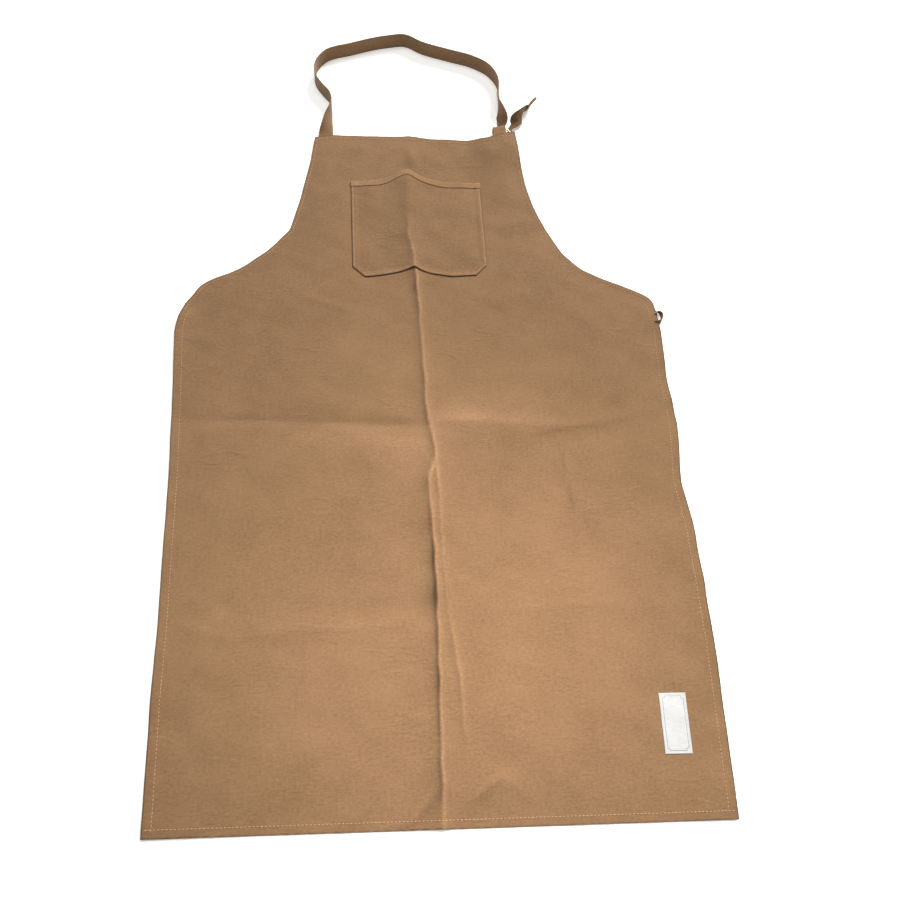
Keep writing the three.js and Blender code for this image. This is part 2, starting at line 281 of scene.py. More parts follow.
def makeBrass(name, look):
    material, nodes, shader = startMaterial(name)
    place = nodes.place()
    tarnish = nodes.noise(place, 160.0, 4.0)
    scratch = nodes.noise(place, 2200.0)
    tint = nodes.blend(tarnish.ramp(0.35, 0.75), look["bright"], look["dull"])
    normal = nodes.bumped(0.15, 0.0001, scratch)
    links = {"Base Color": tint, "Roughness": 0.2 + tarnish * 0.25, "Normal": normal}
    feed(nodes, shader, links, {"Metallic": 1.0})
    return material


labelLook = dict(white=colour(189, 189, 189), shade=colour(174, 175, 176), pitch=0.0004)


def makeLabelCloth(name, look):
    material, nodes, shader = startMaterial(name)
    uv, warp, weft = nodes.threads(look["pitch"])
    ribs = warp.size() * 0.7 + weft.size() * 0.3
    uneven = noise(nodes, uv, (120, 300, 1), 3.0)
    tint = nodes.blend((uneven * 0.8 + ribs * 0.3).ramp(0.2, 0.9), look["shade"], look["white"])
    normal = nodes.bumped(0.3, 0.0002, ribs + uneven * 0.5)
    links = {"Base Color": tint, "Roughness": 0.55 + uneven * 0.2, "Normal": normal}
    feed(nodes, shader, links, {"Sheen Weight": 0.15})
    return material


greyLook = dict(dark=colour(44, 44, 47), light=colour(70, 70, 74), twist=0.0006)

canvasMaterial = makeCanvas("brownCanvas", canvasLook)
threadMaterial = makeThread("tanThread", threadLook)
brassMaterial = makeBrass("brassWire", brassLook)
labelMaterial = makeLabelCloth("whiteLabelCloth", labelLook)
greyMaterial = makeThread("greyThread", greyLook)
print("materials made")


# Meshes

def addMesh(name, points, faces, material, uv=None, shades=None):
    mesh = bpy.data.meshes.new(name)
    mesh.from_pydata(toRow(points).tolist(), [], faces)
    mesh.polygons.foreach_set("use_smooth", np.ones(len(mesh.polygons), bool))
    if uv is not None:
        corners = np.empty(len(mesh.loops), np.int32)
        mesh.loops.foreach_get("vertex_index", corners)
        layer = mesh.uv_layers.new(name="flat")
        layer.data.foreach_set("uv", (np.asarray(uv)[corners] / 1000).astype(np.float32).ravel())
    for key, values in (shades or {}).items():
        attribute = mesh.attributes.new(key, "FLOAT", "POINT")
        attribute.data.foreach_set("value", np.asarray(values, np.float32).ravel())
    mesh.materials.append(material)
    mesh.update()
    piece = bpy.data.objects.new(name, mesh)
    bpy.context.collection.objects.link(piece)
    return piece


def closedSheet(top, bottom):
    # Two grids of points, rows by columns, joined round their edges
    rows, columns = top.shape[:2]
    index = np.arange(rows * columns).reshape(rows, columns)
    a, b = index[:-1, :-1].ravel(), index[:-1, 1:].ravel()
    c, d = index[1:, 1:].ravel(), index[1:, :-1].ravel()
    below = rows * columns
    rim = np.concatenate([index[0, :], index[1:, -1], index[-1, -2::-1], index[-2:0:-1, 0]])
    after = np.roll(rim, -1)
    faces = np.concatenate([
        np.stack([a, b, c, d], 1),
        np.stack([d, c, b, a], 1) + below,
        np.stack([rim, rim + below, after + below, after], 1),
    ])
    points = np.concatenate([top.reshape(-1, 3), bottom.reshape(-1, 3)])
    return points, faces.tolist()


def addSheet(name, x, y, top, low, material, flat, **shades):
    # A closed sheet between two heights over a grid, with its flat coordinates on both sides
    points, faces = closedSheet(np.stack([x, y, top], -1), np.stack([x, y, low], -1))
    uv = np.tile(np.stack(flat, -1).reshape(-1, 2), (2, 1))
    shades = {key: np.tile(values.ravel(), 2) for key, values in shades.items()}
    return addMesh(name, points, faces, material, uv, shades)


def throughPoints(points, step):
    # A smooth line through points of any number of columns, spaced by its first two
    points = np.array(points, float)
    along = np.concatenate([[0], np.cumsum(np.hypot(*np.diff(points[:, :2], axis=0).T))])
    slope = np.gradient(points, along, axis=0)
    at = np.linspace(0, along[-1], max(2, int(along[-1] / step) + 1))
    i = np.clip(np.searchsorted(along, at, side="right") - 1, 0, len(along) - 2)
    span = (along[i + 1] - along[i])[:, None]
    t = (at - along[i])[:, None] / span
    first = (1 + 2 * t) * (1 - t) ** 2 * points[i] + t * (1 - t) ** 2 * span * slope[i]
    return first + t * t * (3 - 2 * t) * points[i + 1] - t * t * (1 - t) * span * slope[i + 1]


def softLine(points, at, blur):
    # The height of a line through a few points, with its corners softened
    xs, ys = zip(*points)
    taps = np.linspace(-1.5, 1.5, 13)
    weights = np.exp(-taps ** 2)
    total = sum(w * np.interp(np.asarray(at) + t * blur, xs, ys) for t, w in zip(taps, weights))
    return total / weights.sum()


def rise(value, start, length):
    t = np.clip((np.asarray(value, float) - start) / length, 0, 1)
    return t * t * (3 - 2 * t)


def bump(value, middle, spread):
    return np.exp(-((np.asarray(value, float) - middle) / spread) ** 2)


# The cloth: outline and relief

cloth = dict(
    top=979.0,
    crease=494.0,
    thickness=1.1,
    hemFold=0.8,
    sideHem=10.0,
    armHem=5.0,
    base=0.95,
    tucked=3.2,
    overRings=7.0,
    leftEdge=[
        (0, -331), (146, -332), (228, -330.4), (445, -331), (566, -334.7), (640, -337.6), (661, -334.6),
        (684, -326), (697, -316), (712, -307), (721, -294), (730, -273), (742.5, -250), (770.8, -216.5),
        (805.4, -186.5), (858.7, -172.7), (931, -158.6), (979, -151.8)],
    rightEdge=[
        (0, 332), (149, 336.5), (203, 337.5), (271, 337.4), (348, 335), (404, 329), (489, 336),
        (557, 332), (630, 334), (664, 331), (678, 330), (689, 322), (696, 310), (711.6, 277), (721, 257.5),
        (737, 230), (764.5, 206), (804, 187), (825, 179), (852, 170), (887, 163), (922, 159), (979, 154)],
    topEdge=[
        (-152, -3), (-125, 2), (-23, 0), (-8, 1.4), (23, -4.2), (69, -6.7), (115, -5.2), (131, 1),
        (154, 6.5)],
    hemTilt=-0.019,
    inner=(-38, 46),
    sideColumns=50,
    swell=0.6,
    unevenness=0.26,
)


def edgesAt(rows):
    return softLine(cloth["leftEdge"], rows, 5), softLine(cloth["rightEdge"], rows, 5)


def warpRows(x, rows):
    # The hem runs a little aslant, and the bib's top edge waves
    atHem = cloth["hemTilt"] * x * (1 - rise(rows, 0, 300))
    atTop = softLine(cloth["topEdge"], x, 8) * rise(rows, 850, cloth["top"] - 850)
    return rows + atHem + atTop


def outlinePoints():
    rows = np.linspace(0, cloth["top"], 700)
    left, right = edgesAt(rows)
    across = np.linspace(0, 1, 300)
    hem = left[0] + (right[0] - left[0]) * across
    top = left[-1] + (right[-1] - left[-1]) * across
    xs = np.concatenate([left, right, hem, top])
    ys = np.concatenate([rows, rows, np.zeros(300), np.full(300, cloth["top"])])
    return np.stack([xs, warpRows(xs, ys)], 1)


outlineTree = KDTree(2000)
for number, (x, y) in enumerate(outlinePoints()):
    outlineTree.insert((x, y, 0), number)
outlineTree.balance()


def fromEdge(x, y):
    flat = zip(np.ravel(x), np.ravel(y))
    return np.array([outlineTree.find((a, b, 0))[2] for a, b in flat]).reshape(np.shape(x))


def fold(left, right, line, step=9, **more):
    # A fold or a shade along a line, with the reach of its two flanks
    return dict(reach=(left, right), smooth=throughPoints(line, step), **more)


# Pressed folds and creases, as (x, y, height)
folds = [
    fold(6, 4, wobble=1, rub=0.11, line=[  # middle fold from the knot up to the pocket
        (8.5, 446, 2.5), (6.8, 471, 5.2), (1.3, 496, 5.6), (-1.6, 563, 4.8), (-4.6, 654, 4.4),
        (-7.7, 732, 4.6), (-9.5, 752, 0)]),
    fold(15, 10, sharp=5, line=[  # its soft roll under the pocket
        (-8, 722, 0), (-9.5, 745, 2.6), (-11.3, 791, 3.0), (-14.7, 863, 3.4), (-13, 896, 2.4),
        (-10, 915, 0)]),
    fold(14, 4, wobble=1, rub=0.11, line=[  # middle fold below the knot, its left ridge
        (-2.8, 2, 4.2), (-1, 62, 5.6), (-0.4, 121, 5.8), (0.8, 183, 6.0), (1.4, 237, 6.0),
        (1.5, 293, 6.4), (-0.4, 364, 6.6), (-2, 413, 6.4), (4, 436, 5.0), (8, 452, 0.5)]),
    fold(4, 7, wobble=1, rub=0.11, line=[  # its right ridge
        (30, 70, 0), (27, 110, 2.4), (25, 161, 3.2), (16, 237, 4.0), (12.6, 293, 4.4),
        (10.8, 388, 4.8), (9.5, 425, 4.6), (8.5, 456, 1.5)]),
    fold(50, 50, line=[
        (-325, 503, 0), (-290, 502, 2.6), (-150, 497, 3.0), (-25, 492, 3.2), (0, 492, 0)]),
    fold(8, 7, line=[
        (-325, 503, 0), (-290, 502, -2.2), (-150, 497, -2.6), (-25, 492, -3.0), (0, 492, 0)]),
    fold(9, 12, line=[
        (0, 500, 0), (22, 500.6, 2.6), (100, 496, 2.4), (176, 490, 1.6), (240, 492, 0.6), (332, 500, 0)]),
    fold(6, 7, line=[(118, 468, 0), (150, 476, 0.9), (221, 487, 1.2), (292, 510, 1.0), (330, 520, 0)]),
    fold(9, 8, line=[
        (-325, 240, 0), (-300, 236, 1.1), (-242, 222, 1.5), (-184, 228, 1.5), (-83, 229, 1.2),
        (-25, 232, 0)]),
    fold(9, 8, line=[(55, 240, 0), (103, 245, 1.3), (177, 248, 1.5), (222, 247, 1.1), (310, 243, 0)]),
    fold(6, 6, line=[(187, 326, 0), (186, 345, 0.9), (183, 390, 1.0), (177, 466, 1.1), (176, 486, 0)]),
    fold(5, 6, line=[(186, 175, 0), (187, 193, 0.9), (192, 237, 1.3), (190, 284, 0.7), (188, 318, 0)]),
    fold(7, 6, line=[(-151, 128, 0), (-151, 150, 0.9), (-152, 205, 1.0), (-151, 262, 0)]),
    fold(7, 5, line=[(-185, 700, 0), (-163, 692, 0.9), (-107, 672, 0.7), (-80, 664, 0)]),
    fold(6, 5, line=[(112, 808, 0), (125, 812, 0.8), (157, 821, 0.7), (168, 823, 0)]),
    fold(9, 9, line=[(-204, 190, 0), (-189, 199, 0.9), (-172, 206, 0)]),
    fold(8, 8, line=[(-286, 322, 0), (-270, 327, 0.8), (-252, 333, 0)]),
    fold(5, 7, line=[(-50, 2, 0), (-44, 6, 1.6), (-24, 25, 2.2), (-6, 47, 0.6)]),
    fold(6, 6, line=[(22, 27, 0), (34, 33, 1.7), (58, 50, 2.2), (70, 56, 0)]),
    fold(7, 6, line=[(56, 62, 0), (68, 52, 1.6), (90, 34, 1.2), (108, 20, 0)]),
]
# Painted light and shade on the cloth, as (x, y, amount): lighter bands where slopes face the light, darker
# bands in the shade beside the folds and creases and towards the lower left; darker below 0
paintedLightAndShade = [
    fold(11, 1.5, sharp=2, wobble=1, line=[
        (-4, 2, -0.16), (-2, 62, -0.24), (-1.6, 121, -0.26), (-0.6, 183, -0.28), (0, 237, -0.3),
        (0, 293, -0.32), (-1.8, 364, -0.3), (-3.5, 413, -0.24), (2, 436, -0.16), (6, 452, 0)]),
    fold(1.8, 0.9, wobble=1, line=[
        (-5, 30, -0.25), (-3, 121, -0.42), (-1.6, 183, -0.42), (-1, 237, -0.46), (-0.9, 293, -0.46),
        (-2.9, 364, -0.38), (-4.4, 413, -0.2)]),
    fold(2.6, 0.9, wobble=1, line=[
        (6.3, 446, -0.25), (4.8, 471, -0.4), (-0.7, 496, -0.4), (-3.6, 563, -0.36), (-6.6, 654, -0.36),
        (-9.7, 732, -0.36)]),
    fold(1.5, 1.5, wobble=1, line=[
        (24, 180, 0), (17, 237, -0.25), (13.6, 293, -0.3), (11.8, 388, -0.2), (10, 425, 0)]),
    fold(24, 3, sharp=2, line=[
        (-325, 503, 0), (-280, 502, -0.12), (-150, 498, -0.18), (-60, 494, -0.24), (-6, 492, -0.26)]),
    fold(9, 14, sharp=4, line=[
        (-300, 478, 0), (-240, 476, 0.08), (-120, 474, 0.18), (-20, 468, 0.3), (-4, 466, 0.2)]),
    fold(14, 13, sharp=5, line=[
        (6, 506, 0.2), (60, 505, 0.3), (110, 503, 0.22), (150, 500, 0.1), (200, 500, 0)]),
    fold(12, 10, sharp=4, line=[
        (120, 486, 0), (160, 485, -0.14), (210, 490, -0.16), (280, 500, -0.08), (320, 505, 0)]),
    fold(3.6, 3.2, line=[
        (112, 470, 0), (150, 476, -0.3), (200, 484, -0.3), (240, 490, -0.2), (270, 500, 0)]),
    fold(3.4, 3.4, wobble=1, line=[
        (174, 466, 0), (176, 440, -0.3), (178, 410, -0.1), (180, 385, -0.3), (182, 355, 0)]),
    fold(20, 22, sharp=6, line=[
        (190, 470, 0), (196, 400, -0.13), (196, 340, -0.13), (190, 296, 0)]),
    fold(22, 15, sharp=4, line=[
        (-160, 256, 0), (-110, 255, -0.12), (-60, 257, -0.18), (-6, 257, -0.24)]),
    fold(14, 10, sharp=4, line=[
        (-330, 238, 0), (-240, 230, -0.1), (-184, 232, -0.12), (-120, 234, 0)]),
    fold(12, 16, sharp=4, line=[
        (180, 262, 0), (205, 258, -0.16), (240, 256, -0.14), (290, 262, 0)]),
    fold(4, 8, sharp=2, line=[(-48, 0, 0), (-40, 6, -0.2), (-20, 25, -0.26), (-4, 44, -0.1)]),
    fold(5, 6, sharp=2, line=[(24, 22, 0), (36, 28, -0.2), (60, 45, -0.22), (74, 50, 0)]),
    fold(60, 60, sharp=20, line=[(-300, -20, -0.16), (-290, 120, -0.12), (-280, 230, 0)]),
]


def foldRise(shape, x, y):
    # How high a fold stands, and how near its crest each point is
    sharp = shape.get("sharp", 1.2)
    if shape.get("wobble"):
        x = x + 0.35 * np.sin(y / 9.1) + 0.3 * np.sin(y / 5.3 + 1.5 * np.sin(y / 37))
    nearest = np.full(np.shape(x), 1e9)
    height = np.zeros(np.shape(x))
    crest = np.zeros(np.shape(x))
    left, right = shape["reach"]
    line = shape["smooth"]
    for (ax, ay, ah), (bx, by, bh) in zip(line, line[1:]):
        dx, dy = bx - ax, by - ay
        t = np.clip(((x - ax) * dx + (y - ay) * dy) / (dx * dx + dy * dy), 0, 1)
        offX, offY = x - ax - t * dx, y - ay - t * dy
        distance = np.hypot(offX, offY)
        reach = np.where(dx * offY - dy * offX > 0, left, right)
        high = ah + t * (bh - ah)
        near = distance < nearest
        softened = np.sqrt(distance ** 2 + sharp ** 2) - sharp
        height = np.where(near, high * np.exp(-softened / reach), height)
        crest = np.where(near, high * np.exp(-softened / 1.5), crest)
        nearest = np.minimum(nearest, distance)
    if shape.get("wobble"):
        uneven = 1 + 0.12 * np.sin(y / 8) + 0.12 * np.sin(y / 21)
        height, crest = height * uneven, crest * uneven
    return height, crest


def waves(x, y, seed, count, shortest, longest):
    # An even, random swell of height about 1
    pick = np.random.default_rng(seed)
    total = np.zeros(np.shape(x))
    for _ in range(count):
        length = pick.uniform(shortest, longest)
        heading, phase = pick.uniform(0, 2 * math.pi, 2)
        total += np.sin((x * math.cos(heading) + y * math.sin(heading)) * 2 * math.pi / length + phase)
    return total / math.sqrt(count / 2)


def relief(x, y):
    # Height of the cloth's underside, its wear with painted highlights, its painted shade, and the distance
    # to its edge
    x, y = np.asarray(x, float), np.asarray(y, float)
    edge = fromEdge(x, y)
    above = np.clip((y - cloth["crease"]) / 70, 0, 1)
    droop = 0.35 + 0.65 * rise(edge, 0, 32)
    overTies = bump(y, 654, 30) * rise(np.abs(x), 45, 30)
    overRoot = bump(x, -137, 24) * rise(y, 925, 25)
    hold = np.maximum(droop, np.maximum(overTies, overRoot))
    height = cloth["base"] + (cloth["tucked"] - cloth["base"]) * above * hold
    overRings = rise(x, 76, 42) * rise(y, 900, 58)
    height = height + cloth["overRings"] * overRings
    worn = np.zeros(x.shape)
    for shape in folds:
        lift, crest = foldRise(shape, x, y)
        height = height + lift
        # A fold's crest is paler: partly wear, partly a painted highlight
        worn = worn + np.clip(crest, 0, 5) * shape.get("rub", 0.06)
    # The lighter amounts go in with the wear as painted highlights; the darker ones are painted shade
    soil = np.zeros(x.shape)
    for tone in paintedLightAndShade:
        amount = foldRise(tone, x, y)[0]
        worn = worn + np.maximum(amount, 0)
        soil = soil + np.maximum(-amount, 0)
    height = height + 3.0 * bump(x, -7, 8) * bump(y, 936, 14)
    height = height + cloth["swell"] * (1 + waves(x, y, 5, 14, 110, 300)) * rise(edge, 0, 60)
    height = height + cloth["unevenness"] * waves(x, y, 8, 36, 24, 64)
    ripple = np.sin(y / 13.5 + 1.2 * np.sin(y / 41)) * rise(y, 230, 60) * (1 - rise(y, 560, 60))
    side = rise(np.abs(x), 250, 60)
    height = height + side * np.exp(-edge / 16) * (1.3 + 1.2 * ripple * (x > 0) + 0.7 * np.sin(y / 23))
    pucker = np.sin(y / 1.9 + 2 * np.sin(x / 17)) * side + np.sin(x / 1.9) * (1 - side)
    height = height + 0.07 * pucker * np.exp(-edge / 9)
    return np.maximum(height, cloth["hemFold"] + 0.1), worn, soil, edge


def clothTop(x, y):
    return relief(x, y)[0] + cloth["thickness"]


rimSteps = [0, 0.3, 0.9, 2.2, 5.5, 8.8, 10.0, 11.4]


def between(start, stop, size):
    return np.linspace(start, stop, int(round(abs(stop - start) / size)) + 1)


def clothGrid():
    rim = np.array(rimSteps)
    rows = np.concatenate([
        rim, between(15, 615, 5.0), between(618, 800, 2.6)[:-1], between(800, 966, 4.0),
        cloth["top"] - rim[::-1]])
    left, right = edgesAt(rows)
    inner = between(*cloth["inner"], 1.9)
    share = np.linspace(0, 1, cloth["sideColumns"])[:, None]
    west = left + rim[-1] + (inner[0] - left - rim[-1]) * share[1:-1]
    east = inner[-1] + (right - rim[-1] - inner[-1]) * share[1:-1]
    x = np.concatenate([
        left + rim[:, None], west, np.repeat(inner[:, None], len(rows), 1), east, right - rim[::-1, None]]).T
    y = warpRows(x, rows[:, None] * np.ones_like(x))
    return x, y


def roundOff(edge, radius):
    t = 1 - np.clip(edge / radius, 0, 1)
    return 0.3 + 0.7 * np.sqrt(1 - t * t)


def makeCloth():
    x, y = clothGrid()
    height, worn, shaded, edge = relief(x, y)
    side = rise(np.abs(x), 250, 60)
    hem = np.where((y < 650) | (y > cloth["top"] - 30), cloth["sideHem"], cloth["armHem"])
    double = 1 - rise(edge, hem - 0.6, 1.4)
    thin = roundOff(edge, 0.9)
    top = height + cloth["thickness"] * (0.4 + 0.6 * thin)
    bottom = height + cloth["thickness"] * 0.4 * (1 - thin) - cloth["hemFold"] * double * thin
    # Painted shade: a dark line along the very edge, a darker band just inside the side edges where they
    # curl, and the folds' painted shade
    soil = 0.8 * (1 - rise(edge, 0.3, 1.4)) + 0.1 * side * (1 - rise(edge, 0, 12)) + shaded
    worn = np.clip(worn, 0, 1)
    return addSheet("cloth", x, y, top, bottom, canvasMaterial, (x, y), worn=worn, soil=soil)


clothPiece = makeCloth()
print("cloth made", len(clothPiece.data.vertices), "points")


# Chest pocket

pocket = dict(
    bottom=723.0,
    top=889.0,
    left=pocketLeft,
    right=94.5,
    halfWidth=95,
    height=166,
    patternX=400,
    bandPatternY=300,
    chamfer=17.0,
    thickness=0.8,
    clear=0.14,
    band=9.0,
    topEdge=[
        (-98, 0.6), (-62, 0.8), (-46, 4), (-24, 14.5), (-14, 17.5), (-3, 10.5), (14, 3), (37, -2.4),
        (75, -2.2), (95, -1)],
    bottomEdge=[
        (-98, 1), (-76, 1), (-53, 3), (-28, 8.5), (-10, 14), (-4, 11.5), (15, 4), (43, -1), (95, 2)],
)


def pocketSpot(u, v):
    # A place on the pocket, with u from -1 to 1 across and v from 0 at its bottom to 1
    middle = (pocket["left"] + pocket["right"]) / 2
    half = (pocket["right"] - pocket["left"]) / 2
    y = pocket["bottom"] + (pocket["top"] - pocket["bottom"]) * v
    cut = np.clip(pocket["chamfer"] - (y - pocket["bottom"]), 0, None)
    x = middle + u * (half - cut) + 1.5 * (0.5 - v)
    atTop = softLine(pocket["topEdge"], x, 6) * rise(v, 0.55, 0.45)
    atBottom = softLine(pocket["bottomEdge"], x, 6) * (1 - rise(v, 0, 0.35))
    return x, y + atTop + atBottom


def fromSides(u):
    return (1 - np.abs(u)) * pocket["halfWidth"]


def pocketLift(u, v, x):
    # Room between the pocket and the bib: sewn down at its sides and bottom, open at its top
    sewn = np.minimum(rise(1 - np.abs(u), 0.02, 0.3), rise(v, 0.01, 0.22))
    mouth = rise(v, 0.55, 0.45)
    gape = 5.0 * bump(x, -14, 24) + 1.4
    rim = np.minimum(fromSides(u), v * pocket["height"])
    turned = 0.8 * (1 - rise(rim, 7, 2))
    return pocket["clear"] + turned + sewn * (0.9 + mouth * gape)


def pocketSurface(u, v):
    x, y = pocketSpot(u, v)
    height = clothTop(x, y) + pocketLift(u, v, x)
    creased = foldRise(pocketCrease, x, y)[0]
    return x, y, height + creased


pocketCrease = fold(5, 5, step=6, line=[
    (-9.5, 738, 1.6), (-9, 752, 2.0), (-11.5, 772, 1.8), (-16, 796, 1.6), (-14, 812, 0.9), (-17, 830, 0.5),
    (-16, 863, 0)])
# Painted shade on the darker side of the crease, as (x, y, amount)
pocketShade = fold(7, 1.6, step=6, sharp=1.6, wobble=1, line=[
    (-12.2, 738, 0.22), (-11.8, 752, 0.26), (-14.3, 772, 0.28), (-18.8, 796, 0.28), (-17, 812, 0.2),
    (-20, 830, 0.16), (-19, 868, 0.14), (-16, 892, 0.16)])


def makePocket():
    edge = np.array([0, 0.0035, 0.01, 0.025, 0.05])
    u = np.concatenate([-1 + edge, np.linspace(-0.93, 0.93, 90), 1 - edge[::-1]])
    v = np.concatenate([edge, np.linspace(0.07, 0.97, 70), 1 - edge[2::-1]])
    u, v = np.meshgrid(u, v)
    x, y, height = pocketSurface(u, v)
    rim = np.minimum(np.minimum(1 - np.abs(u), v) * pocket["halfWidth"], (1 - v) * 165)
    thin = roundOff(rim, 0.9)
    top = height + pocket["thickness"] * thin
    crest = foldRise(pocketCrease, x, y)[1]
    # The crease's crest is paler, partly wear and partly a painted highlight; the rim is worn
    worn = np.clip(crest / 4, 0, 0.6) + 0.3 * (1 - rise(rim, 1.6, 2))
    # Painted shadow as a dark line round the sewn sides and bottom, and painted shade on the crease's darker
    # side
    soil = 0.8 * (1 - rise(np.minimum(fromSides(u), v * pocket["height"]), 0.2, 1.1))
    soil = soil + foldRise(pocketShade, x, y)[0]
    flat = (x + pocket["patternX"], y)
    return addSheet("pocket_cloth", x, y, top, height, canvasMaterial, flat, worn=worn, soil=soil)


def makePocketBand():
    # The mouth's hem, turned outwards, so that it stands on the pocket's front
    u = np.concatenate([[-1, -0.995, -0.985], np.linspace(-0.97, 0.97, 90), [0.985, 0.995, 1]])
    down = np.array([-0.9, -0.7, -0.2, 0.8, 4.5, 7.6, 8.6, 9.0])
    share = 1 - down / (pocket["top"] - pocket["bottom"])
    u, v = np.meshgrid(u, share[::-1])
    x, y, height = pocketSurface(u, np.minimum(v, 1))
    y = y + (v - np.minimum(v, 1)) * (pocket["top"] - pocket["bottom"])
    downs = (1 - v) * (pocket["top"] - pocket["bottom"])
    rim = np.minimum(fromSides(u), np.minimum(downs + 0.9, 9.0 - downs))
    thin = roundOff(rim, 0.8)
    over = 1 - rise(downs, -0.75, 0.6)
    low = height + pocket["thickness"] * (1 - over) + 0.04 - over * 0.3
    top = height + pocket["thickness"] + 0.04 + 0.95 * thin - over * 0.5
    low = np.minimum(low, top - 0.1)
    worn = 0.25 + 0.5 * (1 - rise(rim, 0.3, 1.2))
    flat = (x, y + pocket["bandPatternY"])
    return addSheet("pocket_band", x, y, top, low, canvasMaterial, flat, worn=worn, soil=0 * worn)


pocketPiece = makePocket()
bandPiece = makePocketBand()
print("pocket made")


# Straps

section = [
    (-1, -0.35), (-0.985, -0.75), (-0.93, -1), (-0.8, -1), (-0.74, -0.84), (-0.3, -0.84), (0.3, -0.84),
    (0.74, -0.84), (0.8, -1), (0.93, -1), (0.985, -0.75), (1, -0.35)]
section = section + [(-u, -v) for u, v in section]


def unit(vectors):
    return vectors / np.linalg.norm(vectors, axis=-1, keepdims=True)


def strapMesh(name, middles, across, widths, thicks, shift=0, soil=0.0):
    # A flat strap swept along its middles, with a welt at each edge
    middles = np.asarray(middles, float)
    along = unit(np.gradient(middles, axis=0))
    across = np.asarray(across, float)
    across = unit(across - along * (across * along).sum(1, keepdims=True))
    normal = np.cross(along, across)
    widths, thicks = np.broadcast_to(widths, len(middles)), np.broadcast_to(thicks, len(middles))
    rings = np.array(section)
    points = (
        middles[:, None] + across[:, None] * (rings[:, 0, None] * widths[:, None, None] / 2)
        + normal[:, None] * (rings[:, 1, None] * thicks[:, None, None] / 2))
    count, sides = points.shape[:2]
    index = np.arange(count * sides).reshape(count, sides)
    beside = np.roll(index, -1, axis=1)
    faces = np.stack([index[:-1], beside[:-1], beside[1:], index[1:]], -1).reshape(-1, 4).tolist()
    # Each end is closed by a strip of faces across it
    half = sides // 2
    for ring, turned in ((index[0], True), (index[-1], False)):
        for k in range(half - 1):
            face = [ring[k], ring[k + 1], ring[sides - 2 - k], ring[sides - 1 - k]]
            faces.append([int(i) for i in (face[::-1] if turned else face)])
    travel = np.concatenate([[0], np.cumsum(np.linalg.norm(np.diff(middles, axis=0), axis=1))])
    u = rings[None, :, 0] * widths[:, None] / 2 + shift
    v = travel[:, None] + 0 * u
    worn = 0.08 * rise(np.abs(rings[:, 0]), 0.9, 0.1) * np.ones((count, 1))
    # Painted shade, even over the whole strap
    shades = dict(worn=worn, soil=np.full(count * sides, soil))
    uv = np.stack([u, v], -1).reshape(-1, 2)
    piece = addMesh(name, points.reshape(-1, 3), faces, canvasMaterial, uv, shades)
    return piece, float(travel[-1])


strapLift = 0.15


def leaning(rows, thickness, step):
    # Stations of a strap whose foot follows rows of (x, y, z, lean, width); at a lean of 0 it
    # lies flat to the left of its run, and at 90 it stands on its edge
    line = throughPoints(rows, step)
    foot, lean, widths = line[:, :3], np.radians(np.maximum(line[:, 3], 0)), line[:, 4]
    foot[:, 2] = np.maximum(foot[:, 2], 0)
    run = unit(np.gradient(foot[:, :2], axis=0))
    left = np.stack([-run[:, 1], run[:, 0]], 1)
    across = np.concatenate([left * np.cos(lean)[:, None], np.sin(lean)[:, None]], 1)
    middles = foot + across * widths[:, None] / 2
    middles[:, 2] += strapLift + np.abs(np.cos(lean)) * thickness / 2
    return middles, across, widths


neck = dict(
    thickness=2.0,
    rows=[
        (-124.5, 944, 0, 0, 24), (-124.5, 970, 0, 0, 23), (-124.5, 984, 0, 10, 21.5),
        (-124.8, 994, 0, 34, 21),
        (-126, 1008, 0, 62, 22), (-126.5, 1026, 0, 88, 24.5), (-129, 1046, 0, 90, 25),
        (-140, 1062, 0, 90, 25),
        (-151, 1083, 0, 90, 25), (-150, 1110, 0, 90, 25), (-137, 1130, 0, 90, 25), (-95, 1147, 0, 90, 25),
        (-38, 1164, 0, 90, 25), (-11, 1167, 0, 90, 25), (16, 1152, 0, 90, 25), (60, 1136, 0, 90, 25),
        (95, 1124, 0, 90, 25), (119, 1108, 0, 90, 25), (133.5, 1084, 0, 94, 25), (136, 1059, 0, 99, 25),
        (134.6, 1043, 0, 102, 25), (132, 1030, 0, 84, 24), (129.6, 1019, 0, 56, 22),
        (128.6, 1009, 0, 20, 16.5),
        (128.8, 1000.4, 0, 0, 10.5)],
)
neckPiece, neckLength = strapMesh(
    "neck_strap_cloth", *leaning(neck["rows"], neck["thickness"], 2.5), neck["thickness"])


ring = dict(x=134.4, y=980.3, radius=12.7, wire=1.25, lower=3.7, upper=7.5, slip=1.7, joint=4.4)
turn = dict(low=0.7, thickness=1.0)
tail = dict(
    start=(150.0, 996.7),
    heading=0.9,
    rows=[  # along, lean, width, z
        (0, 0, 8, 4.8), (6, 12, 15, 4), (14, 40, 22, 1.8), (23, 64, 25, 0.3), (31, 96, 25, 0),
        (36, 113, 25, 0.1), (42, 111, 25, 0.4), (58, 111.5, 25, 0.4)],
    hemStart=42.0,
    thickness=1.4,
    hemThickness=4.2,
    # Painted shade over the tail, which faces away from the light
    soil=0.4,
)


